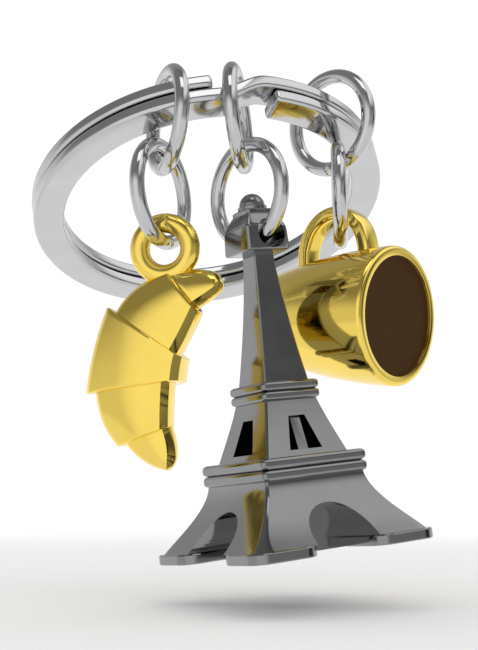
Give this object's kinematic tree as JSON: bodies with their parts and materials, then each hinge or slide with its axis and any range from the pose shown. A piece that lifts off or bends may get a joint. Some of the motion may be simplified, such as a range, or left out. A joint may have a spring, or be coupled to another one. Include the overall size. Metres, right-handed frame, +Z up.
{
  "type": "keychain",
  "caption": "Split ring with three hanging charms on jump rings: a rolled croissant, a four-legged lattice tower and a coffee cup.",
  "frame": {"origin": "centre of the split ring, half way through its two turns", "axes": "+Z up as the keychain hangs, +X to the viewer's right, +Y away from the viewer"},
  "size_m": [0.0356, 0.0395, 0.0422],
  "materials": {
    "polished_chrome": "mirror-polished bright nickel or chrome plate",
    "dark_gunmetal": "mirror-polished dark nickel plate",
    "polished_gold": "mirror-polished pale gold plate",
    "brown_enamel": "smooth satin-gloss enamel"
  },
  "bodies": {
    "split_ring": {"split_ring": "polished_chrome"},
    "left_upper_ring": {"left_upper_jump_ring": "polished_chrome"},
    "left_lower_ring": {"left_lower_jump_ring": "polished_chrome"},
    "croissant": {"croissant_charm": "polished_gold"},
    "centre_upper_ring": {"centre_upper_jump_ring": "polished_chrome"},
    "centre_lower_ring": {"centre_lower_jump_ring": "polished_chrome"},
    "tower": {"tower_charm": "dark_gunmetal"},
    "right_upper_ring": {"right_upper_jump_ring": "polished_chrome"},
    "right_lower_ring": {"right_lower_jump_ring": "polished_chrome"},
    "cup": {"cup_charm": "polished_gold", "cup_enamel": "brown_enamel"}
  },
  "joints": [
    {"name": "left_ring_on_split_ring", "type": "hinge", "parent": "split_ring", "child": "left_upper_ring", "pos_m": [-0.00302, -0.01325, 0.00535], "axis": [0.9657, -0.1297, 0.2248], "range_deg": [-35, 30]},
    {"name": "left_ring_on_ring", "type": "hinge", "parent": "left_upper_ring", "child": "left_lower_ring", "pos_m": [-0.00321, -0.01331, -0.00003], "axis": [-0.3424, 0.9396, 0.0005], "range_deg": [-3, 30]},
    {"name": "croissant_swing", "type": "hinge", "parent": "left_lower_ring", "child": "croissant", "pos_m": [-0.00321, -0.01335, -0.00619], "axis": [0.4234, 0.906, 0.0016], "range_deg": [-16, 35]},
    {"name": "centre_ring_on_split_ring", "type": "hinge", "parent": "split_ring", "child": "centre_upper_ring", "pos_m": [0.00285, -0.0129, 0.00621], "axis": [0.9682, 0.2428, 0.0601], "range_deg": [-30, 9]},
    {"name": "centre_ring_on_ring", "type": "hinge", "parent": "centre_upper_ring", "child": "centre_lower_ring", "pos_m": [0.00324, -0.01296, 0.00023], "axis": [0.145, 0.9894, 0.0002], "range_deg": [-7, 4]},
    {"name": "tower_swing", "type": "hinge", "parent": "centre_lower_ring", "child": "tower", "pos_m": [0.00405, -0.01354, -0.00615], "axis": [-0.6367, 0.7613, -0.1226], "range_deg": [-10, 4]},
    {"name": "right_ring_on_split_ring", "type": "hinge", "parent": "split_ring", "child": "right_upper_ring", "pos_m": [0.0109, -0.00804, 0.00545], "axis": [-0.6467, -0.7325, 0.2126], "range_deg": [-30, 40]},
    {"name": "right_ring_on_ring", "type": "hinge", "parent": "right_upper_ring", "child": "right_lower_ring", "pos_m": [0.0109, -0.00804, 0.0011], "axis": [0.7193, -0.6947, 0], "range_deg": [-5, 14]},
    {"name": "cup_swing", "type": "hinge", "parent": "right_lower_ring", "child": "cup", "pos_m": [0.01161, -0.00806, -0.00527], "axis": [-0.0698, -0.9976, 0.0017], "range_deg": [-16, 18]}
  ]
}
